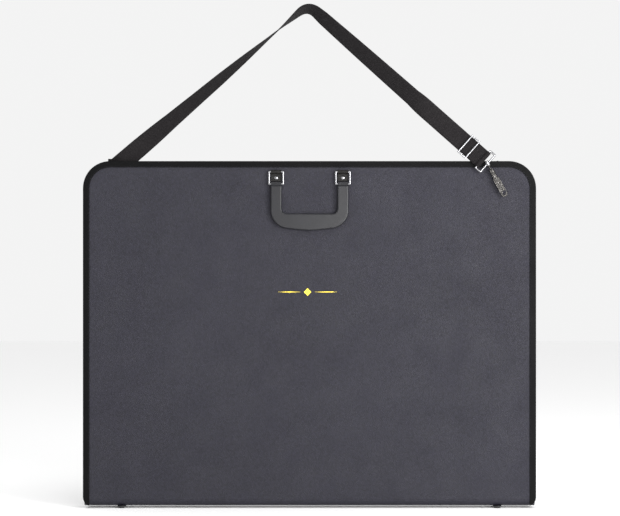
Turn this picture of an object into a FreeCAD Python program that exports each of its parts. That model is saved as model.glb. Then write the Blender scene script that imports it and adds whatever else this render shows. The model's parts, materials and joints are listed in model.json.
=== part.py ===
import FreeCAD, Part
import math
import os

import Sketcher

# Zipped portfolio case for flat sheets: two stiff boards joined by a spine, bound edges,
# a zip on three sides, a drop handle on each board and one shoulder strap.
# X runs along the spine, the front board faces -Y, Z is up, the origin is under the feet.

NUMBERS = {
    "case_width": 720,
    "case_height": 548,
    "case_depth": 36,
    "corner_radius": 43,
    "toe_radius": 14,
    "board": 4,
    "lining": 0.8,
    "binding_width": 10,
    "binding_skin": 1,
    "binding_depth": 7,
    "rim": 2,
    "gusset_inset": 5,
    "gusset_skin": 1.5,
    "roll_radius": 10,
    "spine_wall": 2.5,
    "curl_length": 22,
    "foot_height": 4,
    "foot_radius": 6.5,
    "foot_side": 61,
    "foot_spread": 11,
    "zip_offset": 5,
    "zip_gap": 0.3,
    "tooth_width": 2.6,
    "tooth_height": 1.6,
    "slot_play": 0.25,
    "tape_skin": 0.8,
    "slider_length": 16,
    "slider_skin": 1.6,
    "pull_length": 28,
    "pull_width": 8,
    "pull_skin": 1.6,
    "link_pitch": 106,
    "link_width": 25.4,
    "link_height": 22,
    "link_wire": 3,
    "link_drop": 16,
    "link_stand": 4.3,
    "chape_width": 17,
    "chape_length": 14.6,
    "chape_skin": 1.2,
    "rivet_radius": 3.4,
    "rivet_shank": 1.4,
    "rivet_dome": 1.6,
    "handle_width": 124,
    "handle_arm": 18,
    "handle_grip": 24,
    "handle_length": 71,
    "handle_depth": 7.6,
    "handle_collar": 3.8,
    "handle_bend": 29,
    "handle_throat": 8,
    "clearance": 0.3,
    "strap_width": 30,
    "strap_skin": 1.8,
    "wire_radius": 1.5,
    "ring_radius": 1.25,
    "ring_span": 11.4,
    "ring_depth": 13,
    "tab_length": 16,
    "tab_skin": 1.5,
    "anchor_length": 46,
    "anchor_height": 9,
    "strap_play": 1,
    "buckle_side": 2,
    "buckle_length": 18,
    "eye_height": 13,
    "swivel_radius": 3.2,
    "swivel_post": 1.2,
    "gate_pin": 0.7,
    "hook_length": 54,
    "barrel_radius": 3.6,
    "barrel_length": 16,
    "latch_width": 10,
    "latch_length": 23,
    "latch_depth": 4.6,
    "curl_ring": 4,
    "curl_wire": 1.6,
    "gate_radius": 1.2,
    "gate_length": 18,
}


class Size:
    """A length that knows both its number and the expression that gives it."""

    def __init__(self, value, text):
        self.value = value
        self.text = text

    def join(self, other, sign, swap=False):
        if not isinstance(other, Size):
            other = Size(float(other), repr(float(other)))
        first, second = (other, self) if swap else (self, other)
        values = {
            "+": first.value + second.value,
            "-": first.value - second.value,
            "*": first.value * second.value,
            "/": first.value / second.value if second.value else 0.0,
        }
        return Size(values[sign], f"({first.text} {sign} {second.text})")

    def __add__(self, other):
        return self.join(other, "+")

    def __radd__(self, other):
        return self.join(other, "+", swap=True)

    def __sub__(self, other):
        return self.join(other, "-")

    def __rsub__(self, other):
        return self.join(other, "-", swap=True)

    def __mul__(self, other):
        return self.join(other, "*")

    def __rmul__(self, other):
        return self.join(other, "*", swap=True)

    def __truediv__(self, other):
        return self.join(other, "/")

    def __neg__(self):
        return self.join(0, "-", swap=True)


doc = FreeCAD.newDocument("PortfolioCase")
sheet = doc.addObject("Spreadsheet::Sheet", "Sizes")
for row, (alias, number) in enumerate(NUMBERS.items(), start=1):
    sheet.set(f"A{row}", alias)
    sheet.set(f"B{row}", str(number))
    sheet.setAlias(f"B{row}", alias)
doc.recompute()

NODES = []


def cell(alias):
    return Size(float(NUMBERS[alias]), f"Sizes.{alias}")


def size(value):
    return value if isinstance(value, Size) else Size(float(value), repr(float(value)))


def bind(item, prop, value):
    item.setExpression(prop, size(value).text)


def place(item, at, axis=(0, 0, 1), angle=0):
    """Puts an object at a point whose coordinates follow the sheet."""
    turn = FreeCAD.Rotation(FreeCAD.Vector(*axis), angle)
    item.Placement = FreeCAD.Placement(FreeCAD.Vector(*[size(v).value for v in at]), turn)
    for letter, value in zip("xyz", at):
        bind(item, f"Placement.Base.{letter}", value)
    return item


def keep(item, node):
    item.Label = node
    NODES.append(item)
    return item


def box(name, sides, at, axis=(0, 0, 1), angle=0):
    item = doc.addObject("Part::Box", name)
    for prop, value in zip(("Length", "Width", "Height"), sides):
        bind(item, prop, value)
    return place(item, at, axis, angle)


def cylinder(name, radius, height, at, axis=(0, 0, 1), angle=0):
    item = doc.addObject("Part::Cylinder", name)
    bind(item, "Radius", radius)
    bind(item, "Height", height)
    return place(item, at, axis, angle)


def cone(name, low, high, height, at, axis=(0, 0, 1), angle=0):
    item = doc.addObject("Part::Cone", name)
    bind(item, "Radius1", low)
    bind(item, "Radius2", high)
    bind(item, "Height", height)
    return place(item, at, axis, angle)


def ball(name, radius, at):
    item = doc.addObject("Part::Sphere", name)
    bind(item, "Radius", radius)
    return place(item, at)


def torus(name, ring, wire, sweep, at, axis=(0, 0, 1), angle=0):
    item = doc.addObject("Part::Torus", name)
    bind(item, "Radius1", ring)
    bind(item, "Radius2", wire)
    item.Angle3 = sweep
    return place(item, at, axis, angle)


def fuse(name, pieces):
    item = doc.addObject("Part::MultiFuse", name)
    item.Shapes = pieces
    item.Refine = True
    return item


def cut(name, base, tool):
    item = doc.addObject("Part::Cut", name)
    item.Base = base
    item.Tool = tool
    return item


def common(name, pieces):
    item = doc.addObject("Part::MultiCommon", name)
    item.Shapes = pieces
    return item


def group(name, pieces):
    item = doc.addObject("Part::Compound", name)
    item.Links = pieces
    return item


# ---------------------------------------------------------------- shared places

WIDTH = cell("case_width")
FOOT = cell("foot_height")
TOP = FOOT + cell("case_height")
HALF = WIDTH / 2
FACE = cell("case_depth") / 2
BOARD = cell("board")
RIM = cell("rim")
INSET = cell("gusset_inset")
ROLL = FOOT + cell("roll_radius")
GAP = cell("clearance")
ZIP = cell("zip_offset")
GUSSET_TOP = TOP - INSET
FLANGE = cell("slider_skin") - 0.4
SLIDER_INNER = cell("zip_gap") / 2 + cell("tooth_width") + GAP
SLOT = SLIDER_INNER + FLANGE + cell("slot_play")
HINGE_Z = ROLL + BOARD / 2 + GAP
HINGE_Y = FACE - BOARD / 2
LINK_X = cell("link_pitch") / 2
LINK_TOP_Z = TOP - cell("link_drop") - cell("link_wire") / 2
LINK_LOW_Z = TOP - cell("link_drop") - cell("link_height") + cell("link_wire") / 2
LINK_Y = FACE + cell("link_stand")
RIVET_Z = LINK_TOP_Z - cell("chape_length") + cell("rivet_radius") + 2


# ---------------------------------------------------------------- sketches

def origin_plane(body, role):
    return next(f for f in body.Origin.OriginFeatures if f.Role == role)


def new_sketch(body, name, role="XZ_Plane"):
    sketch = body.newObject("Sketcher::SketchObject", name)
    sketch.AttachmentSupport = [(origin_plane(body, role), "")]
    sketch.MapMode = "FlatFace"
    return sketch


def set_size(sketch, label, value, *where):
    index = sketch.addConstraint(Sketcher.Constraint(*where, size(value).value))
    sketch.renameConstraint(index, label)
    sketch.setExpression(f"Constraints.{label}", size(value).text)


def outline(sketch, half, bottom, top, top_radius, toe_radius=None):
    """A symmetric upright rectangle with round shoulders, and round toes if they are given."""
    w, low, high, r = (size(v).value for v in (half, bottom, top, top_radius))
    toe = size(toe_radius).value if toe_radius else 0.0
    corners = [
        (w, high, r, 0),
        (-w, high, r, 90),
        (-w, low, toe, 180),
        (w, low, toe, 270),
    ]
    legs, arcs = [], {}
    for number, (x, z, radius, start) in enumerate(corners):
        if radius:
            rise = radius if number < 2 else -radius
            mid = FreeCAD.Vector(x - math.copysign(radius, x), z - rise, 0)
            circle = Part.Circle(mid, FreeCAD.Vector(0, 0, 1), radius)
            span = (math.radians(start), math.radians(start + 90))
            arcs[number] = sketch.addGeometry(Part.ArcOfCircle(circle, *span), False)
    spots = []
    for number, (x, z, radius, start) in enumerate(corners):
        before = {0: (x, z - radius), 1: (x + radius, z), 2: (x, z + radius), 3: (x - radius, z)}[number]
        after = {0: (x - radius, z), 1: (x, z - radius), 2: (x + radius, z), 3: (x, z + radius)}[number]
        spots.append((before, after))
    for number in range(4):
        a = spots[number][1]
        b = spots[(number + 1) % 4][0]
        line = Part.LineSegment(FreeCAD.Vector(*a, 0), FreeCAD.Vector(*b, 0))
        legs.append(sketch.addGeometry(line, False))
    for number in range(4):
        into, out = legs[number - 1], legs[number]
        if number in arcs:
            sketch.addConstraint(Sketcher.Constraint("Tangent", into, 2, arcs[number], 1))
            sketch.addConstraint(Sketcher.Constraint("Tangent", arcs[number], 2, out, 1))
        else:
            sketch.addConstraint(Sketcher.Constraint("Coincident", into, 2, out, 1))
    for number, kind in ((1, "Vertical"), (2, "Horizontal"), (3, "Vertical")):
        sketch.addConstraint(Sketcher.Constraint(kind, legs[number]))
    sketch.addConstraint(Sketcher.Constraint("Symmetric", legs[0], 1, legs[0], 2, -2))
    sketch.addConstraint(Sketcher.Constraint("Equal", arcs[0], arcs[1]))
    set_size(sketch, "half_width", half, "DistanceX", -1, 1, legs[3], 1)
    set_size(sketch, "top_height", top, "DistanceY", -1, 1, legs[0], 1)
    set_size(sketch, "bottom_height", bottom, "DistanceY", -1, 1, legs[2], 1)
    set_size(sketch, "shoulder", top_radius, "Radius", arcs[0])
    if 2 in arcs:
        sketch.addConstraint(Sketcher.Constraint("Equal", arcs[2], arcs[3]))
        set_size(sketch, "toe", toe_radius, "Radius", arcs[2])


def case_outline(sketch, inset, bottom, toe=None):
    """The case's own outline, moved in by an inset, standing on a given bottom."""
    shoulder = cell("corner_radius") - inset
    toe_radius = cell("toe_radius") - inset if toe else None
    outline(sketch, HALF - inset, bottom, TOP - inset, shoulder, toe_radius)


def pad(body, sketch, length):
    feature = body.newObject("PartDesign::Pad", sketch.Name + "Pad")
    feature.Profile = sketch
    feature.Reversed = True
    bind(feature, "Length", length)
    return feature


def pocket(body, sketch, length):
    feature = body.newObject("PartDesign::Pocket", sketch.Name + "Pocket")
    feature.Profile = sketch
    bind(feature, "Length", length)
    return feature


def plate(name, inset, bottom, near, thickness):
    """A board-like sheet of the case's outline between two planes parallel to the front."""
    body = doc.addObject("PartDesign::Body", name)
    sketch = new_sketch(body, name + "Outline")
    case_outline(sketch, inset, bottom)
    pad(body, sketch, thickness)
    return place(body, (0, near, 0))


def band(name, inset, width, bottom, near, depth):
    """A strip that follows the left, top and right edges of the outline, open underneath."""
    body = doc.addObject("PartDesign::Body", name)
    outer = new_sketch(body, name + "Outer")
    case_outline(outer, inset, bottom)
    pad(body, outer, depth)
    inner = new_sketch(body, name + "Inner")
    case_outline(inner, inset + width, bottom - 5)
    pocket(body, inner, depth)
    return place(body, (0, near, 0))


# ---------------------------------------------------------------- case

def rivet_holes(name, side):
    """One hole for each handle rivet, straight through a board or its lining."""
    reach = FACE - BOARD - 2
    start = -FACE - 2 if side < 0 else reach
    holes = []
    for tag, x in (("Left", -LINK_X), ("Right", LINK_X)):
        holes.append(cylinder(name + "Hole" + tag, cell("rivet_shank") + 0.1, BOARD + 4,
                              (x, start + BOARD + 4, RIVET_Z), (1, 0, 0), 90))
    return fuse(name + "Holes", holes)


def board(node, side):
    near = -FACE if side < 0 else FACE - BOARD
    body = plate(node + "Plate", RIM, ROLL if side < 0 else HINGE_Z, near, BOARD)
    if side > 0:
        reach = (HALF - RIM) * 2
        bead = cylinder("BackBead", BOARD / 2, reach, (RIM - HALF, HINGE_Y, HINGE_Z), (0, 1, 0), 90)
        body = fuse("BackBoardSheet", [body, bead])
    return keep(cut(node + "Shape", body, rivet_holes(node, side)), node)


def lining(node, side):
    near = BOARD - FACE if side < 0 else FACE - BOARD - cell("lining")
    low = ROLL if side < 0 else HINGE_Z + BOARD
    inset = INSET + cell("gusset_skin") + cell("tape_skin") + GAP
    sheet_plate = plate(node + "Plate", inset, low, near, cell("lining"))
    keep(cut(node + "Shape", sheet_plate, rivet_holes(node, side)), node)


def binding(node, side):
    """An edge tape folded round the board: a flat leg on the face and a rim round the edge."""
    depth = cell("binding_depth")
    skin = cell("binding_skin")
    low = FOOT if side < 0 else HINGE_Z + skin + BOARD / 2
    body = doc.addObject("PartDesign::Body", node + "Body")
    outer = new_sketch(body, node + "Outer")
    toe = side < 0
    case_outline(outer, Size(0.0, "0"), low, toe)
    pad(body, outer, depth)
    inner = new_sketch(body, node + "Face")
    drop = 1 if side < 0 else 5
    case_outline(inner, cell("binding_width"), low - drop)
    pocket(body, inner, depth)
    place(body, (0, -FACE - skin, 0))
    bed = plate(node + "Bed", RIM, low - 5, -FACE, depth)
    ring = cut(node + "Ring", body, bed)
    if side < 0:
        gap = (HALF - cell("curl_length")) * 2
        opening = box(node + "Opening", (gap, depth * 2, ROLL), (-gap / 2, -FACE - depth, 0))
        return keep(cut(node + "Shape", ring, opening), node)
    mirrored = doc.addObject("Part::Mirroring", node + "Shape")
    mirrored.Source = ring
    mirrored.Normal = FreeCAD.Vector(0, 1, 0)
    return keep(mirrored, node)


def gusset(node, side):
    edge = ZIP - SLOT if side < 0 else ZIP + SLOT
    near = BOARD - FACE if side < 0 else edge
    depth = edge - near if side < 0 else FACE - BOARD - edge
    low = ROLL if side < 0 else HINGE_Z
    keep(band(node, INSET, cell("gusset_skin"), low, near, depth), node)


def zip_half(node, side):
    """A tape under the gusset's edge, with one row of teeth standing on it."""
    reach = SLOT * 2 - cell("zip_gap") / 2
    near = ZIP - SLOT * 2 if side < 0 else ZIP + cell("zip_gap") / 2
    low = ROLL if side < 0 else HINGE_Z
    tape = band(node + "Tape", INSET + cell("gusset_skin"), cell("tape_skin"), low, near, reach)
    foot = ZIP - cell("zip_gap") / 2 - cell("tooth_width") if side < 0 else near
    teeth = band(node + "Teeth", INSET + cell("gusset_skin") - cell("tooth_height"),
                 cell("tooth_height"), low, foot, cell("tooth_width"))
    keep(fuse(node + "Shape", [tape, teeth]), node)


def trough(name, inset, ends):
    """The spine's outer or inner form: a bar with two rolled lower edges."""
    radius = cell("roll_radius") - inset
    centre = FACE - cell("roll_radius")
    length = (HALF - RIM - ends) * 2
    left = RIM + ends - HALF
    pieces = [box(name + "Bar", (length, centre * 2, radius * 2), (left, -centre, ROLL - radius))]
    for tag, y in (("Front", -centre), ("Back", centre)):
        pieces.append(cylinder(name + tag, radius, length, (left, y, ROLL), (0, 1, 0), 90))
    return fuse(name + "Form", pieces)


def spine():
    """A stiff trough along the bottom with rolled edges and closed ends."""
    wall = cell("spine_wall")
    hollow = cut("SpineHollow", trough("SpineOuter", Size(0.0, "0"), Size(0.0, "0")),
                 trough("SpineInner", wall, wall))
    upper = box("SpineUpper", (WIDTH, FACE * 2 + 2, ROLL * 2), (-HALF, -FACE - 1, ROLL))
    keep(cut("SpineShape", hollow, upper), "spine")


def feet():
    """Domed plastic studs in the four corners of the spine."""
    for across, x in (("left", cell("foot_side") - HALF), ("right", HALF - cell("foot_side"))):
        for along, y in (("front", -cell("foot_spread")), ("back", cell("foot_spread"))):
            node = f"foot_{along}_{across}"
            dome = cone(node + "_dome", cell("foot_radius") - 2, cell("foot_radius"), FOOT - 1, (x, y, 0))
            flange = cylinder(node + "_flange", cell("foot_radius"), 1, (x, y, FOOT - 1))
            keep(fuse(node + "_shape", [dome, flange]), node)


# ---------------------------------------------------------------- handles

def mirrored(source, node):
    """The same piece for the back board, as a mirror image through the middle of the case."""
    item = doc.addObject("Part::Mirroring", node + "Shape")
    item.Source = source
    item.Normal = FreeCAD.Vector(0, 1, 0)
    return keep(item, node)


def pair(make, name):
    """Makes a front piece and its mirror image on the back board."""
    mirrored(keep(make(f"front_{name}"), f"front_{name}"), f"back_{name}")


def wire_frame(name, centre, width, height, radius):
    """An upright rectangle of round wire, with ball corners, in a plane parallel to the front."""
    x, y, z = centre
    left, right = x - width / 2 + radius, x + width / 2 - radius
    low, high = z - height / 2 + radius, z + height / 2 - radius
    pieces = []
    for tag, level in (("Low", low), ("High", high)):
        pieces.append(cylinder(name + tag, radius, width - radius * 2, (left, y, level), (0, 1, 0), 90))
        pieces.append(ball(name + tag + "BallA", radius, (left, y, level)))
        pieces.append(ball(name + tag + "BallB", radius, (right, y, level)))
    for tag, place_x in (("Left", left), ("Right", right)):
        pieces.append(cylinder(name + tag, radius, height - radius * 2, (place_x, y, low)))
    return fuse(name, pieces)


def link(x):
    def make(node):
        centre = (x, -LINK_Y, (LINK_TOP_Z + LINK_LOW_Z) / 2)
        width, height = cell("link_width"), cell("link_height")
        return wire_frame(node + "Wire", centre, width, height, cell("link_wire") / 2)
    return make


def chape(x):
    """A tab riveted to the board, with an eye in which the link's upper bar turns."""
    def make(node):
        width = cell("chape_width")
        eye = cell("link_wire") / 2 + GAP + cell("chape_skin")
        left = x - width / 2
        roll = cylinder(node + "Roll", eye, width, (left, -LINK_Y, LINK_TOP_Z), (0, 1, 0), 90)
        back = box(node + "Back", (width, cell("link_stand"), eye * 2), (left, -LINK_Y, LINK_TOP_Z - eye))
        leaf = box(node + "Leaf", (width, cell("chape_skin"), cell("chape_length")),
                   (left, -FACE - cell("chape_skin"), LINK_TOP_Z - cell("chape_length")))
        bore = cylinder(node + "Bore", cell("link_wire") / 2 + GAP, width + 2,
                        (left - 1, -LINK_Y, LINK_TOP_Z), (0, 1, 0), 90)
        shank = cell("rivet_shank") + 0.1
        hole = cylinder(node + "Hole", shank, 8, (x, 4 - FACE, RIVET_Z), (1, 0, 0), 90)
        return cut(node + "Cut", fuse(node + "Body", [roll, back, leaf]), fuse(node + "Tools", [bore, hole]))
    return make


def rivets(node):
    """Two domed rivets, each with its shank through the board and a washer inside the case."""
    pieces = []
    front = -FACE - cell("chape_skin")
    inside = BOARD - FACE + cell("lining")
    for tag, x in (("Left", -LINK_X), ("Right", LINK_X)):
        dome = doc.addObject("Part::Ellipsoid", node + "Dome" + tag)
        bind(dome, "Radius1", cell("rivet_dome"))
        bind(dome, "Radius2", cell("rivet_radius"))
        bind(dome, "Radius3", cell("rivet_radius"))
        dome.Angle1 = 0
        place(dome, (x, front, RIVET_Z), (1, 0, 0), 90)
        shank = cylinder(node + "Shank" + tag, cell("rivet_shank"), inside - front + 1,
                         (x, inside + 1, RIVET_Z), (1, 0, 0), 90)
        washer = cylinder(node + "Washer" + tag, cell("rivet_radius") + 1.5, 1,
                          (x, inside + 1, RIVET_Z), (1, 0, 0), 90)
        pieces.append(fuse(node + "Rivet" + tag, [dome, shank, washer]))
    return group(node + "Pair", pieces)


def handle(node):
    """A moulded drop handle: a flat U with round corners, hung on the lower bars of its links."""
    depth = cell("handle_depth")
    half = cell("handle_width") / 2
    low = LINK_LOW_Z - cell("handle_length")
    near = -LINK_Y - depth / 2
    body = doc.addObject("PartDesign::Body", node + "Body")
    outer = new_sketch(body, node + "Outer")
    outline(outer, half, low, LINK_LOW_Z, Size(1.0, "1"), cell("handle_bend"))
    pad(body, outer, depth)
    inner = new_sketch(body, node + "Inner")
    outline(inner, half - cell("handle_arm"), low + cell("handle_grip"), LINK_LOW_Z + 9,
            Size(1.0, "1"), cell("handle_throat"))
    pocket(body, inner, depth)
    place(body, (0, near, 0))
    width = cell("chape_width")
    pieces, bores = [body], []
    for tag, x in (("Left", -LINK_X), ("Right", LINK_X)):
        at = (x - width / 2, -LINK_Y, LINK_LOW_Z)
        pieces.append(cylinder(node + "Collar" + tag, cell("handle_collar"), width, at, (0, 1, 0), 90))
        start = (x - width, -LINK_Y, LINK_LOW_Z)
        radius = cell("link_wire") / 2 + GAP
        bores.append(cylinder(node + "Bore" + tag, radius, width * 2, start, (0, 1, 0), 90))
    return cut(node + "Cut", fuse(node + "Solid", pieces), fuse(node + "Bores", bores))


# ---------------------------------------------------------------- zip sliders

TEETH_TOP = GUSSET_TOP - cell("gusset_skin") + cell("tooth_height")
TAPE_TOP = GUSSET_TOP - cell("gusset_skin")
PLATE_TOP = TEETH_TOP + GAP + cell("slider_skin")
PIN_Z = PLATE_TOP + 2.2


def slider(node, side):
    """A cap over the closed teeth with a flange down one side, and a bail for its pull."""
    length = cell("slider_length")
    skin = cell("slider_skin")
    centre = (length / 2 + 1) * side
    left = centre - length / 2
    pieces = [box(node + "Plate", (length, (SLIDER_INNER + FLANGE) * 2, skin),
                  (left, ZIP - SLIDER_INNER - FLANGE, PLATE_TOP - skin)),
              box(node + "Near", (length, FLANGE, PLATE_TOP - TAPE_TOP - GAP),
                  (left, ZIP - SLIDER_INNER - FLANGE, TAPE_TOP + GAP))]
    for tag, y in (("CheekNear", ZIP - 3.4), ("CheekFar", ZIP + 2.4)):
        pieces.append(box(node + tag, (3, 1, PIN_Z + 1.2 - PLATE_TOP), (centre - 1.5, y, PLATE_TOP)))
    pieces.append(cylinder(node + "Pin", 0.8, 6, (centre, ZIP + 3, PIN_Z), (1, 0, 0), 90))
    keep(fuse(node + "Shape", pieces), node)


def pull(node, side):
    """A flat tab that lies along the zip and turns on the slider's pin."""
    length = cell("pull_length")
    width = cell("pull_width")
    skin = cell("pull_skin")
    centre = (cell("slider_length") / 2 + 1) * side
    near = centre if side > 0 else centre - length
    eye = cylinder(node + "Eye", 1.9, 4, (centre, ZIP + 2, PIN_Z), (1, 0, 0), 90)
    neck = box(node + "Neck", (length, 4, skin), (near, ZIP - 2, PIN_Z - skin / 2))
    leaf_near = centre + 5 if side > 0 else centre - length
    leaf = box(node + "Leaf", (length - 5, width, skin), (leaf_near, ZIP - width / 2, PIN_Z - skin / 2))
    bore = cylinder(node + "Bore", 1.1, 12, (centre, ZIP + 6, PIN_Z), (1, 0, 0), 90)
    keep(cut(node + "Shape", fuse(node + "Body", [eye, neck, leaf]), bore), node)


# ---------------------------------------------------------------- shoulder strap

RING_X = HALF - cell("corner_radius") - cell("ring_depth") - 4
RING_Z = GUSSET_TOP + cell("ring_radius") + GAP + cell("tab_skin")
RING_Y = ZIP - SLOT - 0.4 - cell("ring_span") / 2


def clip_ring(node):
    """A small D ring that lies down on the top gusset, for the strap's hook."""
    wire = cell("ring_radius")
    half = cell("ring_span") / 2 - wire
    reach = cell("ring_depth") - wire - half
    bar = cylinder(node + "Bar", wire, half * 2, (RING_X, RING_Y + half, RING_Z), (1, 0, 0), 90)
    legs = []
    for tag, y in (("Near", RING_Y - half), ("Far", RING_Y + half)):
        legs.append(cylinder(node + tag, wire, reach, (RING_X, y, RING_Z), (0, 1, 0), 90))
        legs.append(ball(node + tag + "Ball", wire, (RING_X, y, RING_Z)))
    bow = torus(node + "Bow", half, wire, 180, (RING_X + reach, RING_Y, RING_Z), (0, 0, 1), -90)
    keep(fuse(node + "Shape", [bar, bow] + legs), node)


def clip_tab(node):
    """The webbing tab that holds the D ring's straight bar against the gusset."""
    wire = cell("ring_radius")
    skin = cell("tab_skin")
    span = cell("ring_span") - wire * 4 - GAP * 2
    near = RING_Y - span / 2
    eye = wire + GAP + skin
    roll = cylinder(node + "Roll", eye, span, (RING_X, near + span, RING_Z), (1, 0, 0), 90)
    length = cell("tab_length")
    leaf = box(node + "Leaf", (length, span, skin), (RING_X - length, near, GUSSET_TOP))
    bore = cylinder(node + "Bore", wire + GAP, span + 2, (RING_X, near + span + 1, RING_Z), (1, 0, 0), 90)
    keep(cut(node + "Shape", fuse(node + "Body", [roll, leaf]), bore), node)


ANCHOR_Y = Size(0.0, "0") - 10.5
ANCHOR_X = -HALF + 62


def strap_anchor(node):
    """A folded patch sewn to the gusset, to which the strap's fixed end is stitched."""
    skin = cell("strap_skin")
    near = ANCHOR_Y + skin / 2
    length = cell("anchor_length")
    left = ANCHOR_X - length / 2
    upright = box(node + "Upright", (length, 1.2, cell("anchor_height")), (left, near, GUSSET_TOP))
    flap = box(node + "Flap", (length, 9, 1.2), (left, near, GUSSET_TOP))
    keep(fuse(node + "Shape", [upright, flap]), node)


LEFT_END = FreeCAD.Vector(-293, -10.5, 555)
APEX = FreeCAD.Vector(-2.4, -17.9, 800.4)
BAR_POINT = FreeCAD.Vector(275, -25, 554.4)
APEX_RADIUS = 22
RUN = (APEX - BAR_POINT).normalize()
RIGHT_END = BAR_POINT + RUN * (cell("wire_radius") + GAP + cell("strap_skin") + 0.1).value


def strap_band():
    """The free webbing: two straight runs and one bend, as wide as the strap all along."""
    up = (APEX - LEFT_END).normalize()
    down = (RIGHT_END - APEX).normalize()
    turn = up.getAngle(down)
    back = APEX_RADIUS * math.tan(turn / 2)
    start, stop = APEX - up * back, APEX + down * back
    middle = APEX + (down - up).normalize() * (APEX_RADIUS / math.cos(turn / 2) - APEX_RADIUS)
    path = Part.Wire([
        Part.makeLine(LEFT_END, start),
        Part.Arc(start, middle, stop).toShape(),
        Part.makeLine(stop, RIGHT_END),
    ])
    normal = up.cross(down).normalize()
    across = normal.cross(up).normalize()
    half = cell("strap_width").value / 2
    thin = cell("strap_skin").value / 2
    corners = []
    for a, b in ((-1, -1), (1, -1), (1, 1), (-1, 1)):
        corners.append(LEFT_END + across * (a * half) + normal * (b * thin))
    section = Part.makePolygon(corners + corners[:1])
    solid = path.makePipeShell([section], True, False)
    below = Part.makeBox(200, 60, 60, FreeCAD.Vector(LEFT_END.x - 100, -40, GUSSET_TOP.value + 0.2 - 60))
    solid = solid.cut(below)
    print("strap length", round(path.Length, 1), "apex radius", APEX_RADIUS,
          "volume ratio", round(solid.Volume / (path.Length * half * thin * 4), 4))
    item = doc.addObject("Part::Feature", "StrapBand")
    item.Shape = solid
    keep(item, "shoulder_strap")


def along_strap(distance):
    """A point on the strap's right-hand run, a distance up from the eye it is folded round."""
    return BAR_POINT + RUN * distance


UP = FreeCAD.Vector(0, 0, 1)
ACROSS = FreeCAD.Vector(0, 1, 0)
YAW = FreeCAD.Rotation(UP, math.degrees(math.atan2(RIGHT_END.y - LEFT_END.y, RIGHT_END.x - LEFT_END.x)))
STRAP_TURN = YAW.multiply(FreeCAD.Rotation(ACROSS, math.degrees(math.atan2(RUN.x, RUN.z))))
HOOK_TURN = FreeCAD.Rotation(ACROSS, -28.7)
BOSS = BAR_POINT - RUN * (cell("eye_height") - cell("wire_radius") * 2).value


def buckle(node):
    """A three-bar slide that grips the webbing just above its folded end."""
    side = cell("buckle_side")
    width = cell("strap_width") + cell("strap_play") * 2 + side * 2
    length = cell("buckle_length")
    wire = cell("wire_radius")
    front = wire + GAP + cell("strap_skin") / 2
    half = width / 2
    pieces = []
    end = length / 2 - wire
    for tag, y, z in (("Low", -front, -end), ("High", -front, end), ("Mid", front, 0)):
        pieces.append(cylinder(node + tag, wire, width - side, (side / 2 - half, y, z), (0, 1, 0), 90))
    for tag, x in (("Left", -half), ("Right", half - side)):
        sides = (side, (wire + front) * 2, length)
        pieces.append(box(node + tag, sides, (x, -front - wire, -length / 2)))
    item = fuse(node + "Shape", pieces)
    item.Placement = FreeCAD.Placement(along_strap(30), STRAP_TURN)
    keep(item, node)


def strap_fold(node):
    """The webbing's end, turned round the eye's upper bar and stitched down behind the strap."""
    width = cell("strap_width")
    skin = cell("strap_skin")
    wire = cell("wire_radius")
    at = (-width / 2, 0, 0)
    roll = cylinder(node + "Roll", wire + GAP + skin, width, at, (0, 1, 0), 90)
    bore = cylinder(node + "Bore", wire + GAP, width + 2, (-width / 2 - 1, 0, 0), (0, 1, 0), 90)
    tongue = box(node + "Tongue", (width, skin, 19), (-width / 2, skin / 2 + 0.1, 0))
    item = cut(node + "Shape", fuse(node + "Body", [roll, tongue]), bore)
    item.Placement = FreeCAD.Placement(BAR_POINT, STRAP_TURN)
    keep(item, node)


def hook_eye(node):
    """The strap's end loop: a rectangle of wire with a bored boss for the hook's swivel."""
    wire = cell("wire_radius")
    height = cell("eye_height")
    width = cell("strap_width") + cell("strap_play") * 2 + wire * 4
    frame = wire_frame(node + "Wire", (0, 0, wire - height / 2), width, height, wire)
    frame.Placement = FreeCAD.Placement(BAR_POINT, STRAP_TURN)
    tall = cell("swivel_radius") * 2
    blank = cylinder(node + "BossBlank", cell("swivel_radius"), tall, (0, 0, -tall / 2))
    boss = group(node + "Boss", [blank])
    boss.Placement = FreeCAD.Placement(BOSS, HOOK_TURN)
    bored = group(node + "Bored", [cylinder(node + "Bore", cell("swivel_post") + GAP, 24, (0, 0, -12))])
    bored.Placement = FreeCAD.Placement(BOSS, HOOK_TURN)
    keep(cut(node + "Shape", fuse(node + "Body", [frame, boss]), bored), node)


def hook_place(item):
    item.Placement = FreeCAD.Placement(BOSS, HOOK_TURN)
    return item


LATCH_TOP = cell("curl_ring") - cell("hook_length") + cell("latch_length")
GATE_X = cell("curl_ring")
GATE_Z = LATCH_TOP - 6


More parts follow.
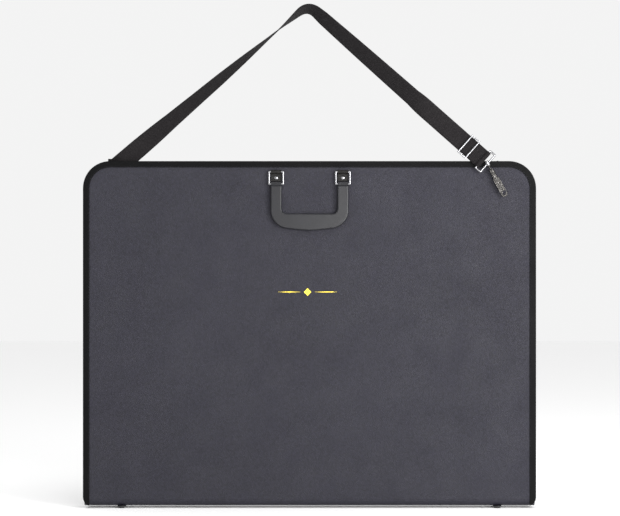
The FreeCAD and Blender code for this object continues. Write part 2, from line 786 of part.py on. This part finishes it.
def hook_body(node):
    """Swivel post, round barrel, slotted latch block and curl; it hangs down its own -Z."""
    post = cell("swivel_post")
    wide = cell("latch_width")
    deep = cell("latch_depth")
    long = cell("latch_length")
    ring = cell("curl_ring")
    barrel_low = LATCH_TOP
    barrel_top = LATCH_TOP + cell("barrel_length")
    head_z = cell("swivel_radius") + GAP
    pieces = [
        cylinder(node + "Post", post, head_z - barrel_top + 1, (0, 0, barrel_top - 1)),
        cylinder(node + "Head", post + 1.1, 1.2, (0, 0, head_z)),
        cylinder(node + "Barrel", cell("barrel_radius"), cell("barrel_length"), (0, 0, barrel_low)),
        box(node + "Latch", (wide, deep, long), (-wide / 2, -deep / 2, LATCH_TOP - long)),
        torus(node + "Curl", ring, cell("curl_wire"), 260, (0, 0, -cell("hook_length"))),
    ]
    upright = FreeCAD.Rotation(FreeCAD.Vector(1, 0, 0), 90)
    pieces[-1].Placement.Rotation = upright.multiply(FreeCAD.Rotation(UP, 110))
    solid = fuse(node + "Solid", pieces)
    slot_deep = cell("gate_radius") * 2 + GAP * 2
    slot = box(node + "Slot", (wide, slot_deep, long - 3), (-0.8, -slot_deep / 2, LATCH_TOP - long - 0.5))
    hole = cylinder(node + "Hole", cell("gate_pin"), deep + 4, (GATE_X, deep / 2 + 2, GATE_Z), (1, 0, 0), 90)
    mouth = cylinder(node + "Mouth", ring - cell("curl_wire"), deep + 4,
                     (0, deep / 2 + 2, -cell("hook_length")), (1, 0, 0), 90)
    keep(hook_place(cut(node + "Shape", solid, fuse(node + "Tools", [slot, hole, mouth]))), node)


def hook_gate(node):
    """The sprung bar that closes the curl's mouth."""
    radius = cell("gate_radius")
    length = cell("gate_length")
    thick = radius * 2
    bar = box(node + "Bar", (thick, thick, length), (GATE_X - radius, -radius, GATE_Z - length))
    knuckle = cylinder(node + "Knuckle", radius + 0.3, thick, (GATE_X, radius, GATE_Z), (1, 0, 0), 90)
    hole = cylinder(node + "Hole", cell("gate_pin") + 0.05, 8, (GATE_X, 4, GATE_Z), (1, 0, 0), 90)
    keep(hook_place(cut(node + "Shape", fuse(node + "Body", [bar, knuckle]), hole)), node)


def hook_pin(node):
    """The rivet on which the gate turns."""
    deep = cell("latch_depth")
    start = (GATE_X, deep / 2 + 0.3, GATE_Z)
    pin = cylinder(node + "Shank", cell("gate_pin"), deep + 0.6, start, (1, 0, 0), 90)
    keep(hook_place(group(node + "Shape", [pin])), node)


for body_name, body_side in (("front", -1), ("back", 1)):
    board(f"{body_name}_board", body_side)
    lining(f"{body_name}_lining", body_side)
    binding(f"{body_name}_binding", body_side)
    gusset(f"{body_name}_gusset", body_side)
    zip_half(f"{body_name}_zip", body_side)
spine()
feet()
for where, link_x in (("left", -LINK_X), ("right", LINK_X)):
    pair(link(link_x), f"link_{where}")
    pair(chape(link_x), f"chape_{where}")
pair(rivets, "rivets")
pair(handle, "handle")
for where, slider_side in (("left", -1), ("right", 1)):
    slider(f"zip_slider_{where}", slider_side)
    pull(f"zip_pull_{where}", slider_side)
clip_ring("clip_ring")
clip_tab("clip_tab")
strap_anchor("strap_anchor")
strap_band()
buckle("strap_buckle")
strap_fold("strap_fold")
hook_eye("hook_eye")
hook_body("hook_body")
hook_gate("hook_gate")
hook_pin("hook_gate_pin")


def finish():
    doc.recompute()
    for item in doc.Objects:
        if "Invalid" in item.State or "Error" in item.State:
            raise RuntimeError(f"{item.Label}: {item.State} {item.getStatusString()}")
    os.makedirs("parts", exist_ok=True)
    for item in NODES:
        shape = item.Shape
        if shape.isNull() or not shape.isValid() or not shape.Solids:
            raise RuntimeError(f"{item.Label} has no valid solid")
        shape.exportStep(f"parts/{item.Label}.step")
        print(item.Label, len(shape.Solids), round(shape.Volume))


finish()
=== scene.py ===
import json
import math

import bmesh
import bpy
from mathutils import Matrix, Vector


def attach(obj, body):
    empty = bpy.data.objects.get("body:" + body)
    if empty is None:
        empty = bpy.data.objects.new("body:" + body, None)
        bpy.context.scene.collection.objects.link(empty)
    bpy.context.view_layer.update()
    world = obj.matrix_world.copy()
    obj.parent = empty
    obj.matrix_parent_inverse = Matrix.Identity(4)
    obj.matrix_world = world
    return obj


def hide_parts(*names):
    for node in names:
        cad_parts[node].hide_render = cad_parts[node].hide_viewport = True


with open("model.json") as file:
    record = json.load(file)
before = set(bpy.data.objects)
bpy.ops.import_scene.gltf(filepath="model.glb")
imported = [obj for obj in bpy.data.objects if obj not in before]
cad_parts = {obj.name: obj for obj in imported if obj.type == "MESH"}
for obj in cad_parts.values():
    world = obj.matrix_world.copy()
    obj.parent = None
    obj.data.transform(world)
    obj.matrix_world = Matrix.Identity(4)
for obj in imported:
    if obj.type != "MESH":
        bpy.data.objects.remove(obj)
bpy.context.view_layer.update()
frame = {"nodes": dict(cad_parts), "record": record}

nodes = frame["nodes"]

# The case's own sizes, in metres, which the pieces below share.
TOP, HALF, CORNER = 0.552, 0.360, 0.043
FACE = 0.018
BINDING_SKIN = 0.001
ZIP_Y = 0.005

# ---------------------------------------------------------------- camera

camera_data = bpy.data.cameras.new("camera")
camera_data.sensor_width = 36
camera_data.lens = 109.6
camera = bpy.data.objects.new("camera", camera_data)
bpy.context.collection.objects.link(camera)
camera.location = (0.0008, -3.018, 0.398)
camera.rotation_euler = (math.radians(90), 0, 0)
bpy.context.scene.camera = camera
bpy.context.scene.view_settings.view_transform = "Standard"


# ---------------------------------------------------------------- materials

class Shader:
    """A small builder for node materials."""

    def __init__(self, name):
        self.material = bpy.data.materials.new(name)
        self.material.use_nodes = True
        self.tree = self.material.node_tree
        self.surface = self.tree.nodes["Principled BSDF"]
        self.coordinates = self.add("ShaderNodeTexCoord")

    def add(self, kind, **values):
        node = self.tree.nodes.new(kind)
        for key, value in values.items():
            setattr(node, key, value)
        return node

    def join(self, out, into):
        self.tree.links.new(out, into)

    def fill(self, socket, value):
        if isinstance(value, bpy.types.NodeSocket):
            self.join(value, socket)
        else:
            socket.default_value = value

    def noise(self, scale, detail=3.0, stretch=None, source="Object"):
        node = self.add("ShaderNodeTexNoise")
        node.inputs["Scale"].default_value = scale
        node.inputs["Detail"].default_value = detail
        out = self.coordinates.outputs[source]
        if stretch:
            mapping = self.add("ShaderNodeMapping")
            mapping.inputs["Scale"].default_value = stretch
            self.join(out, mapping.inputs["Vector"])
            out = mapping.outputs["Vector"]
        self.join(out, node.inputs["Vector"])
        return node.outputs["Fac"]

    def cells(self, scale):
        node = self.add("ShaderNodeTexVoronoi", feature="DISTANCE_TO_EDGE")
        node.inputs["Scale"].default_value = scale
        self.join(self.coordinates.outputs["Object"], node.inputs["Vector"])
        return self.span(node.outputs["Distance"], 0.0, 0.25, 0.0, 1.0)

    def span(self, value, low, high, to_low, to_high):
        node = self.add("ShaderNodeMapRange")
        self.join(value, node.inputs["Value"])
        limits = {"From Min": low, "From Max": high, "To Min": to_low, "To Max": to_high}
        for key, number in limits.items():
            node.inputs[key].default_value = number
        return node.outputs["Result"]

    def maths(self, operation, a, b):
        node = self.add("ShaderNodeMath", operation=operation)
        self.fill(node.inputs[0], a)
        self.fill(node.inputs[1], b)
        return node.outputs["Value"]

    def mix(self, factor, a, b):
        node = self.add("ShaderNodeMix", data_type="RGBA")
        self.fill(node.inputs["Factor"], factor)
        for socket, value in ((node.inputs[6], a), (node.inputs[7], b)):
            self.fill(socket, (*value, 1.0) if isinstance(value, tuple) else value)
        return node.outputs[2]

    def bump(self, height, distance, strength=1.0, edge=0.0):
        node = self.add("ShaderNodeBump")
        node.inputs["Strength"].default_value = strength
        node.inputs["Distance"].default_value = distance
        self.join(height, node.inputs["Height"])
        if edge:
            bevel = self.add("ShaderNodeBevel")
            bevel.inputs["Radius"].default_value = edge
            self.join(bevel.outputs["Normal"], node.inputs["Normal"])
        self.join(node.outputs["Normal"], self.surface.inputs["Normal"])

    def set(self, **values):
        for key, value in values.items():
            self.fill(self.surface.inputs[key.replace("_", " ")], value)


def tint(colour, amount):
    return tuple(min(1.0, c * amount) for c in colour)


def vinyl(name, colour, rough, grain, depth, shine=0.25):
    """Pebbled vinyl: cells of grain, cloudy tone, and a few rubbed places."""
    s = Shader(name)
    pebbles = s.cells(grain)
    cloud = s.span(s.noise(5, 4), 0.35, 0.65, 0.0, 1.0)
    colour_out = s.mix(cloud, tint(colour, 0.88), tint(colour, 1.12))
    mottle = s.span(s.noise(grain * 0.5, 3), 0.35, 0.65, 0.0, 1.0)
    colour_out = s.mix(s.maths("MULTIPLY", mottle, 0.6), colour_out, tint(colour, 1.9))
    rub = s.span(s.noise(38, 5, (1, 1, 0.25)), 0.62, 0.75, 0.0, 0.12)
    colour_out = s.mix(rub, colour_out, tint(colour, 2.2))
    s.fill(s.surface.inputs["Base Color"], colour_out)
    s.set(Roughness=s.span(s.noise(24, 4), 0.3, 0.7, rough - 0.06, rough + 0.08))
    s.fill(s.surface.inputs["Specular IOR Level"], shine)
    relief = s.maths("ADD", pebbles, s.maths("MULTIPLY", s.noise(grain * 2.2, 3), 0.6))
    s.bump(relief, depth, 0.7, 0.0008)
    return s.material


def plastic(name, colour, rough, coat, edge):
    """Moulded plastic: a faint orange-peel, fine scratches and soft wear."""
    s = Shader(name)
    worn = s.span(s.noise(60, 5), 0.5, 0.75, 0.0, 0.4)
    s.fill(s.surface.inputs["Base Color"], s.mix(worn, colour, tint(colour, 1.7)))
    scratch = s.noise(110, 6)
    s.set(Roughness=s.span(scratch, 0.35, 0.7, rough - 0.02, rough + 0.05))
    s.fill(s.surface.inputs["Coat Weight"], coat)
    s.fill(s.surface.inputs["Coat Roughness"], 0.18)
    s.fill(s.surface.inputs["Specular IOR Level"], 0.3)
    relief = s.maths("ADD", s.noise(900, 2), s.maths("MULTIPLY", scratch, 0.2))
    s.bump(relief, 0.00002, 0.5, edge)
    return s.material


def metal(name, colour, rough, edge=0.0004, beads=0.0):
    """Plated metal with smudges and a little pitting."""
    s = Shader(name)
    smudge = s.span(s.noise(45, 4), 0.4, 0.7, 0.0, 1.0)
    s.fill(s.surface.inputs["Base Color"], s.mix(smudge, colour, tint(colour, 0.72)))
    s.set(Metallic=1.0, Roughness=s.span(smudge, 0, 1, rough, rough + 0.16))
    if beads:
        s.bump(s.maths("ADD", s.cells(beads), s.noise(900, 2)), 0.0006, 1.0, edge)
    else:
        s.bump(s.maths("ADD", s.noise(700, 3), s.cells(260)), 0.00003, 0.5, edge)
    return s.material


def woven(name, colour, pitch, source="Object"):
    """A plain weave: warp and weft ribs that trade places, with stray light fibres."""
    s = Shader(name)
    parts = s.add("ShaderNodeSeparateXYZ")
    s.join(s.coordinates.outputs[source], parts.inputs["Vector"])
    turns = 2 * math.pi / pitch
    across = parts.outputs["X"]
    along = parts.outputs["Y"]
    if source != "UV":
        along = s.maths("ADD", along, parts.outputs["Z"])
    warp = s.maths("SINE", s.maths("MULTIPLY", across, turns), 0.0)
    weft = s.maths("SINE", s.maths("MULTIPLY", along, turns * 0.7), 0.0)
    cloth = s.span(s.maths("MULTIPLY", warp, weft), -1, 1, 0, 1)
    fibre = s.span(s.noise(1600, 3, source=source), 0.5, 0.72, 0.0, 0.8)
    shade = s.mix(cloth, tint(colour, 0.45), tint(colour, 1.6))
    s.fill(s.surface.inputs["Base Color"], s.mix(fibre, shade, tint(colour, 3.2)))
    s.set(Roughness=s.span(s.noise(120, 3), 0.3, 0.7, 0.68, 0.9))
    s.fill(s.surface.inputs["Sheen Weight"], 0.01)
    s.fill(s.surface.inputs["Specular IOR Level"], 0.12)
    s.bump(s.maths("ADD", cloth, s.maths("MULTIPLY", fibre, 0.5)), 0.0006, 0.9)
    return s.material


LOOKS = {
    "cover_pvc": vinyl("vinyl cover", (0.0085, 0.0080, 0.0135), 0.55, 620, 0.0003, 0.3),
    "binding_pvc": vinyl("binding vinyl", (0.0012, 0.0012, 0.0014), 0.5, 1300, 0.00006, 0.08),
    "gusset_pvc": vinyl("gusset vinyl", (0.004, 0.004, 0.005), 0.5, 800, 0.00018, 0.15),
    "lining": woven("lining cloth", (0.05, 0.05, 0.058), 0.0012),
    "zip_tape": woven("zip tape", (0.012, 0.012, 0.014), 0.0010),
    "zip_metal": metal("black nickel", (0.2, 0.2, 0.22), 0.24),
    "handle_plastic": plastic("handle plastic", (0.005, 0.005, 0.007), 0.34, 0.08, 0.0012),
    "chape": vinyl("chape vinyl", (0.004, 0.0034, 0.003), 0.35, 1500, 0.00008, 0.2),
    "chrome": metal("chrome", (0.30, 0.30, 0.31), 0.14),
    "webbing": woven("webbing", (0.008, 0.007, 0.0075), 0.0024),
    "foot_plastic": plastic("foot plastic", (0.008, 0.008, 0.009), 0.32, 0.3, 0.0012),
}
WEBBING = woven("strap webbing", (0.008, 0.007, 0.0075), 0.0026, "UV")
TOOTH = plastic("zip tooth nylon", (0.02, 0.02, 0.022), 0.35, 0.2, 0.0002)
HOOK = metal("dark nickel casting", (0.12, 0.115, 0.11), 0.16, 0.0004, 380)
THREAD = woven("thread", (0.010, 0.010, 0.012), 0.0006)
FOIL = metal("gold foil", (0.80, 0.62, 0.08), 0.35, 0.0)

for part in frame["record"]["subparts"]:
    data = nodes[part["node"]].data
    data.materials.clear()
    data.materials.append(LOOKS[part["material_slot"]])


for name in ("hook_body", "hook_gate", "hook_gate_pin"):
    nodes[name].data.materials[0] = HOOK


# ---------------------------------------------------------------- mesh helpers

def piece(name, points, faces, look, smooth=False):
    mesh = bpy.data.meshes.new(name)
    mesh.from_pydata([tuple(p) for p in points], [], faces)
    mesh.materials.append(look)
    mesh.validate()
    item = bpy.data.objects.new(name, mesh)
    bpy.context.collection.objects.link(item)
    work = bmesh.new()
    work.from_mesh(mesh)
    bmesh.ops.recalc_face_normals(work, faces=work.faces)
    work.to_mesh(mesh)
    work.free()
    for face in mesh.polygons:
        face.use_smooth = smooth
    return item


def many(name, places, shape, look):
    """One mesh of many small copies: shape is (points, faces), places are matrices."""
    points, faces = [], []
    for matrix in places:
        first = len(points)
        points += [matrix @ Vector(p) for p in shape[0]]
        faces += [[first + i for i in face] for face in shape[1]]
    return piece(name, points, faces, look)


def block(x, y, z, taper=1.0):
    """A box of half sizes x, y, z, narrower at its upper end by taper."""
    points = [(sx * x * (taper if sz > 0 else 1), sy * y * (taper if sz > 0 else 1), sz * z)
              for sx in (-1, 1) for sy in (-1, 1) for sz in (-1, 1)]
    faces = [(0, 1, 3, 2), (4, 6, 7, 5), (0, 4, 5, 1), (2, 3, 7, 6), (0, 2, 6, 4), (1, 5, 7, 3)]
    return points, faces


def rail(inset, low, pitch):
    """Points and outward directions along the left, top and right edges at an even pitch."""
    radius = CORNER - inset
    side = TOP - CORNER - low
    across = (HALF - CORNER) * 2
    bend = radius * math.pi / 2
    total = side * 2 + bend * 2 + across
    count = int(total / pitch)
    found = []
    for k in range(count):
        d = (k + 0.5) * total / count
        if d < side:
            found.append((Vector((inset - HALF, 0, low + d)), math.pi))
        elif d < side + bend:
            a = math.pi - (d - side) / radius
            centre = Vector((CORNER - HALF, 0, TOP - CORNER))
            found.append((centre + Vector((math.cos(a), 0, math.sin(a))) * radius, a))
        elif d < side + bend + across:
            found.append((Vector((CORNER - HALF + d - side - bend, 0, TOP - inset)), math.pi / 2))
        elif d < side + bend * 2 + across:
            a = math.pi / 2 - (d - side - bend - across) / radius
            centre = Vector((HALF - CORNER, 0, TOP - CORNER))
            found.append((centre + Vector((math.cos(a), 0, math.sin(a))) * radius, a))
        else:
            left = total - d
            found.append((Vector((HALF - inset, 0, low + left)), 0.0))
    return found


def outward(point, angle, y):
    """A matrix whose Z points out of the edge and whose X runs along it."""
    out = Vector((math.cos(angle), 0, math.sin(angle)))
    side = Vector((0, 1, 0))
    along = side.cross(out)
    turn = Matrix((along, side, out)).transposed().to_4x4()
    return Matrix.Translation(point + side * y) @ turn


# ---------------------------------------------------------------- zip teeth and stitching

TOOTH_PITCH, TOOTH_INSET, TOOTH_OFFSET = 0.0026, 0.0049, 0.00155
STITCH_PITCH, STITCH_INSET, STITCH_LOW = 0.0042, 0.0086, 0.030


def zip_teeth(body, sign, low):
    """One half of the zip's teeth, standing on its tape."""
    places = [outward(point, angle, ZIP_Y + sign * TOOTH_OFFSET)
              for point, angle in rail(TOOTH_INSET, low, TOOTH_PITCH)]
    teeth = many(f"{body}_teeth", places, block(0.0008, 0.0013, 0.00012, 0.85), TOOTH)
    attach(teeth, body)


def stitching(body, sign):
    """A row of stitches along the inner edge of a board's binding."""
    places = [outward(point, angle, sign * (FACE + BINDING_SKIN))
              for point, angle in rail(STITCH_INSET, STITCH_LOW, STITCH_PITCH)]
    row = many(f"{body}_stitches", places, block(0.0013, 0.00018, 0.00032), THREAD)
    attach(row, body)


for body, sign, low in (("front_case", -1, 0.016), ("back_cover", 1, 0.0185)):
    zip_teeth(body, sign, low)
    stitching(body, sign)


# ---------------------------------------------------------------- handles

def arc(cx, cz, radius, first, last, count=10):
    for k in range(count + 1):
        a = math.radians(first + (last - first) * k / count)
        yield cx + radius * math.cos(a), cz + radius * math.sin(a)


GRIP_HALF, GRIP_ARM, GRIP_THICK = 0.062, 0.018, 0.024
GRIP_LOW, GRIP_HIGH = 0.4445, 0.5133
GRIP_BEND, GRIP_THROAT = 0.029, 0.008
BELLY, BELLY_DROP = 0.033, 0.0028
HANDLE_Y, HANDLE_DEEP = 0.0223, 0.0038
EAR_X, EAR_HALF, EAR_Z = 0.053, 0.0085, 0.5155
EAR_OUTER, EAR_BORE = 0.0038, 0.0018


def grip_outline():
    """The handle seen from the front: a U whose lower edge is slightly bellied."""
    bend_x, bend_z = GRIP_HALF - GRIP_BEND, GRIP_LOW + GRIP_BEND
    inner = GRIP_HALF - GRIP_ARM
    throat_x, throat_z = inner - GRIP_THROAT, GRIP_LOW + GRIP_THICK + GRIP_THROAT
    line = [(-GRIP_HALF, GRIP_HIGH)]
    line += arc(-bend_x, bend_z, GRIP_BEND, 180, 270)
    for k in range(1, 16):
        x = (k / 8 - 1) * BELLY
        line.append((x, GRIP_LOW - BELLY_DROP * math.cos(x / BELLY * math.pi / 2)))
    line += arc(bend_x, bend_z, GRIP_BEND, 270, 360)
    line += [(GRIP_HALF, GRIP_HIGH), (inner, GRIP_HIGH)]
    line += arc(throat_x, throat_z, GRIP_THROAT, 0, -90, 6)
    line += arc(-throat_x, throat_z, GRIP_THROAT, 270, 180, 6)
    line.append((-inner, GRIP_HIGH))
    return line


def grip(name, body, node, sign):
    """A moulded U with rounded edges, hung by two tubular ears."""
    line = grip_outline()
    count = len(line)
    points = [(x, sign * HANDLE_Y + side * HANDLE_DEEP, z) for side in (-1, 1) for x, z in line]
    faces = [list(range(count)), list(range(2 * count - 1, count - 1, -1))]
    faces += [(k, (k + 1) % count, (k + 1) % count + count, k + count) for k in range(count)]
    item = piece(name, points, faces, LOOKS["handle_plastic"], smooth=True)
    soft = item.modifiers.new("soft edges", "BEVEL")
    soft.width = 0.0021
    soft.segments = 4
    soft.limit_method = "ANGLE"
    soft.angle_limit = math.radians(50)
    soft.harden_normals = True
    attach(item, body)
    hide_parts(node)
    for tag, x in (("left", -EAR_X), ("right", EAR_X)):
        ear(f"{name}_ear_{tag}", body, x, sign * HANDLE_Y)


def ear(name, body, x, y, steps=32):
    """A short tube round a link's lower bar."""
    points = []
    for end in (-EAR_HALF, EAR_HALF):
        for radius in (EAR_OUTER, EAR_BORE):
            for k in range(steps):
                a = 2 * math.pi * k / steps
                points.append((x + end, y + radius * math.cos(a), EAR_Z + radius * math.sin(a)))
    faces = []
    for k in range(steps):
        n = (k + 1) % steps
        faces.append((k, n, 2 * steps + n, 2 * steps + k))
        faces.append((steps + k, steps + n, 3 * steps + n, 3 * steps + k))
        faces.append((k, n, steps + n, steps + k))
        faces.append((2 * steps + k, 2 * steps + n, 3 * steps + n, 3 * steps + k))
    item = piece(name, points, faces, LOOKS["handle_plastic"])
    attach(item, body)


grip("front_grip", "front_handle", "front_handle", -1)
grip("back_grip", "back_handle", "back_handle", 1)


# ---------------------------------------------------------------- strap

LEFT_END = Vector((-0.293, -0.0105, 0.555))
APEX = Vector((-0.0024, -0.0179, 0.8004))
BAR_POINT = Vector((0.275, -0.025, 0.5544))
RUN = (APEX - BAR_POINT).normalized()
RIGHT_END = BAR_POINT + RUN * 0.0037
UPWARD = (APEX - LEFT_END).normalized()
DOWNWARD = (RIGHT_END - APEX).normalized()

route = bpy.data.curves.new("strap route", "CURVE")
route.dimensions = "3D"
spline = route.splines.new("NURBS")
START = LEFT_END - UPWARD * 0.0115
controls = [START, APEX - UPWARD * 0.04, APEX, APEX + DOWNWARD * 0.04, RIGHT_END]
spline.points.add(len(controls) - 1)
for spot, control in zip(spline.points, controls):
    spot.co = (*control, 1.0)
spline.order_u = 3
spline.use_endpoint_u = True
spline.resolution_u = 60
guide = bpy.data.objects.new("strap route", route)
bpy.context.collection.objects.link(guide)
bpy.context.view_layer.update()
line_mesh = bpy.data.meshes.new_from_object(guide)
path = [v.co.copy() for v in line_mesh.vertices]
bpy.data.objects.remove(guide)

# How far along the strap, in metres, and how many degrees it has turned there. It lies flat
# over the buckle's whole travel.
TWIST = [(0.0, 0), (0.032, 0), (0.108, 31), (0.158, 42), (0.208, 50), (0.258, 62), (0.326, 82),
         (0.342, 90), (0.393, 116), (0.417, 127), (0.488, 136), (0.549, 142), (0.608, 147),
         (0.630, 168), (0.645, 180), (0.82, 180)]
SEAT_Z = 0.5478
STRAP_HALF, STRAP_THIN = 0.015, 0.0009
SPREAD = 0.013


def twist_at(distance):
    for (a, first), (b, second) in zip(TWIST, TWIST[1:]):
        if a <= distance <= b:
            part = (distance - a) / (b - a)
            return math.radians(first + (second - first) * part)
    return math.radians(TWIST[-1][1])


points, faces, coordinates = [], [], []
travelled = 0.0
STEPS = 10
for k, here in enumerate(path):
    if k:
        travelled += (here - path[k - 1]).length
    ahead = path[min(k + 1, len(path) - 1)] - path[max(k - 1, 0)]
    ahead.normalize()
    flat = ahead.cross(Vector((0, 1, 0))).normalized()
    deep = flat.cross(ahead).normalized()
    angle = twist_at(travelled)
    width = flat * math.cos(angle) + deep * math.sin(angle)
    normal = ahead.cross(width).normalized()
    for row in (-1, 1):
        for j in range(STEPS + 1):
            share = j / STEPS * 2 - 1
            swell = STRAP_THIN * (1 - 0.55 * abs(share) ** 6)
            point = here + width * (share * STRAP_HALF) + normal * (row * swell)
            if k == 0:
                point -= ahead * min(SPREAD, max(0.0, (point.z - SEAT_Z) / ahead.z))
            if point.z < SEAT_Z:
                point += ahead * ((SEAT_Z - point.z) / ahead.z)
            points.append(point)
            coordinates.append((share * STRAP_HALF, travelled))
ring_size = (STEPS + 1) * 2
loop = list(range(STEPS + 1)) + list(range(ring_size - 1, STEPS, -1))
for k in range(len(path) - 1):
    for a, b in zip(loop, loop[1:] + loop[:1]):
        this, following = k * ring_size, (k + 1) * ring_size
        faces.append((this + a, this + b, following + b, following + a))
faces.append(loop[::-1])
faces.append([(len(path) - 1) * ring_size + a for a in loop])
strap = piece("strap_webbing", points, faces, WEBBING, smooth=True)
layer = strap.data.uv_layers.new(name="weave")
for corner in strap.data.loops:
    layer.data[corner.index].uv = coordinates[corner.vertex_index]
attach(strap, "front_case")
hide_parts("shoulder_strap")


# ---------------------------------------------------------------- small details

MOTIF_X, MOTIF_Z = -0.003, 0.344
FOIL_Y = -FACE - 0.00006


def lozenge(x, z, wide, tall, y=FOIL_Y):
    return [(x - wide, y, z), (x, y, z - tall), (x + wide, y, z), (x, y, z + tall)]


foil_points, foil_faces = [], []
for x, wide, tall in ((0.0, 0.006, 0.006), (-0.029, 0.019, 0.0008), (0.029, 0.019, 0.0008)):
    foil_faces.append([len(foil_points) + k for k in range(4)])
    foil_points += lozenge(x + MOTIF_X, MOTIF_Z, wide, tall)
motif = piece("foil_motif", foil_points, foil_faces, FOIL)
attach(motif, "front_case")


# ---------------------------------------------------------------- stage and light

def plane(name, corners, look):
    item = piece(name, corners, [(0, 1, 2, 3)], look)
    return item


pale = Shader("pale studio paper")
pale.fill(pale.surface.inputs["Base Color"], (0.95, 0.95, 0.95, 1.0))
pale.set(Roughness=0.9)
plane("floor", [(-6, -6, 0), (6, -6, 0), (6, 6, 0), (-6, 6, 0)], pale.material)

world = bpy.data.worlds.new("studio")
bpy.context.scene.world = world
world.use_nodes = True
world.node_tree.nodes["Background"].inputs["Color"].default_value = (1.0, 1.0, 1.0, 1.0)
world.node_tree.nodes["Background"].inputs["Strength"].default_value = 0.9


def soft_light(name, place, target, wide, tall, power):
    data = bpy.data.lights.new(name, "AREA")
    data.shape = "RECTANGLE"
    data.size = wide
    data.size_y = tall
    data.energy = power
    item = bpy.data.objects.new(name, data)
    bpy.context.collection.objects.link(item)
    item.location = place
    item.rotation_euler = (Vector(target) - Vector(place)).to_track_quat("-Z", "Y").to_euler()


soft_light("right key", (1.5, -1.6, 0.5), (0.1, 0, 0.3), 1.0, 1.4, 60)
soft_light("top", (0.3, -0.7, 2.2), (0, 0, 0.3), 1.6, 1.0, 14)
soft_light("camera side", (0.62, -3.0, 0.30), (0.3, 0, 0.1), 0.7, 0.5, 30)
soft_light("arm glint", (0.115, -2.9, 0.62), (0.05, 0, 0.5), 0.06, 0.12, 0.7)
soft_light("left rim", (-1.8, -0.9, 1.2), (0, 0, 0.4), 0.5, 1.2, 5)
